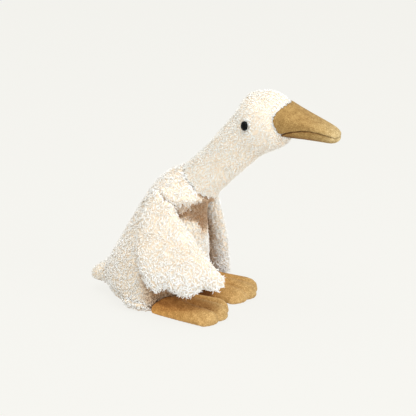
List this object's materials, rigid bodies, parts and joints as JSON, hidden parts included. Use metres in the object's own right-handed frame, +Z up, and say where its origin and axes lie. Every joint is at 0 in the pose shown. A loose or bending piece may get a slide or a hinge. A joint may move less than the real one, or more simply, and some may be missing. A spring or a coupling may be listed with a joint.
{
  "type": "plush goose",
  "caption": "Seated plush goose with a long neck stretched forward, drooping wings with a scalloped hem, a soft beak, bead eyes and webbed feet.",
  "frame": {"origin": "centre of the flat seat under the rump, on the surface that the goose sits on", "axes": "+X the way the goose faces, from tail to beak; +Y to its left side; +Z up"},
  "size_m": [0.2926, 0.152, 0.2531],
  "materials": {
    "pile": "cream curly pile",
    "velour": "ochre short velour",
    "bead": "glossy black"
  },
  "bodies": {
    "root": {"body": "pile", "neck_and_head": "pile", "upper_beak": "velour", "lower_beak": "velour", "right_eye": "bead", "left_eye": "bead", "right_wing": "pile", "left_wing": "pile", "right_leg": "pile", "left_leg": "pile", "right_foot": "velour", "left_foot": "velour", "tail": "pile"}
  },
  "joints": []
}
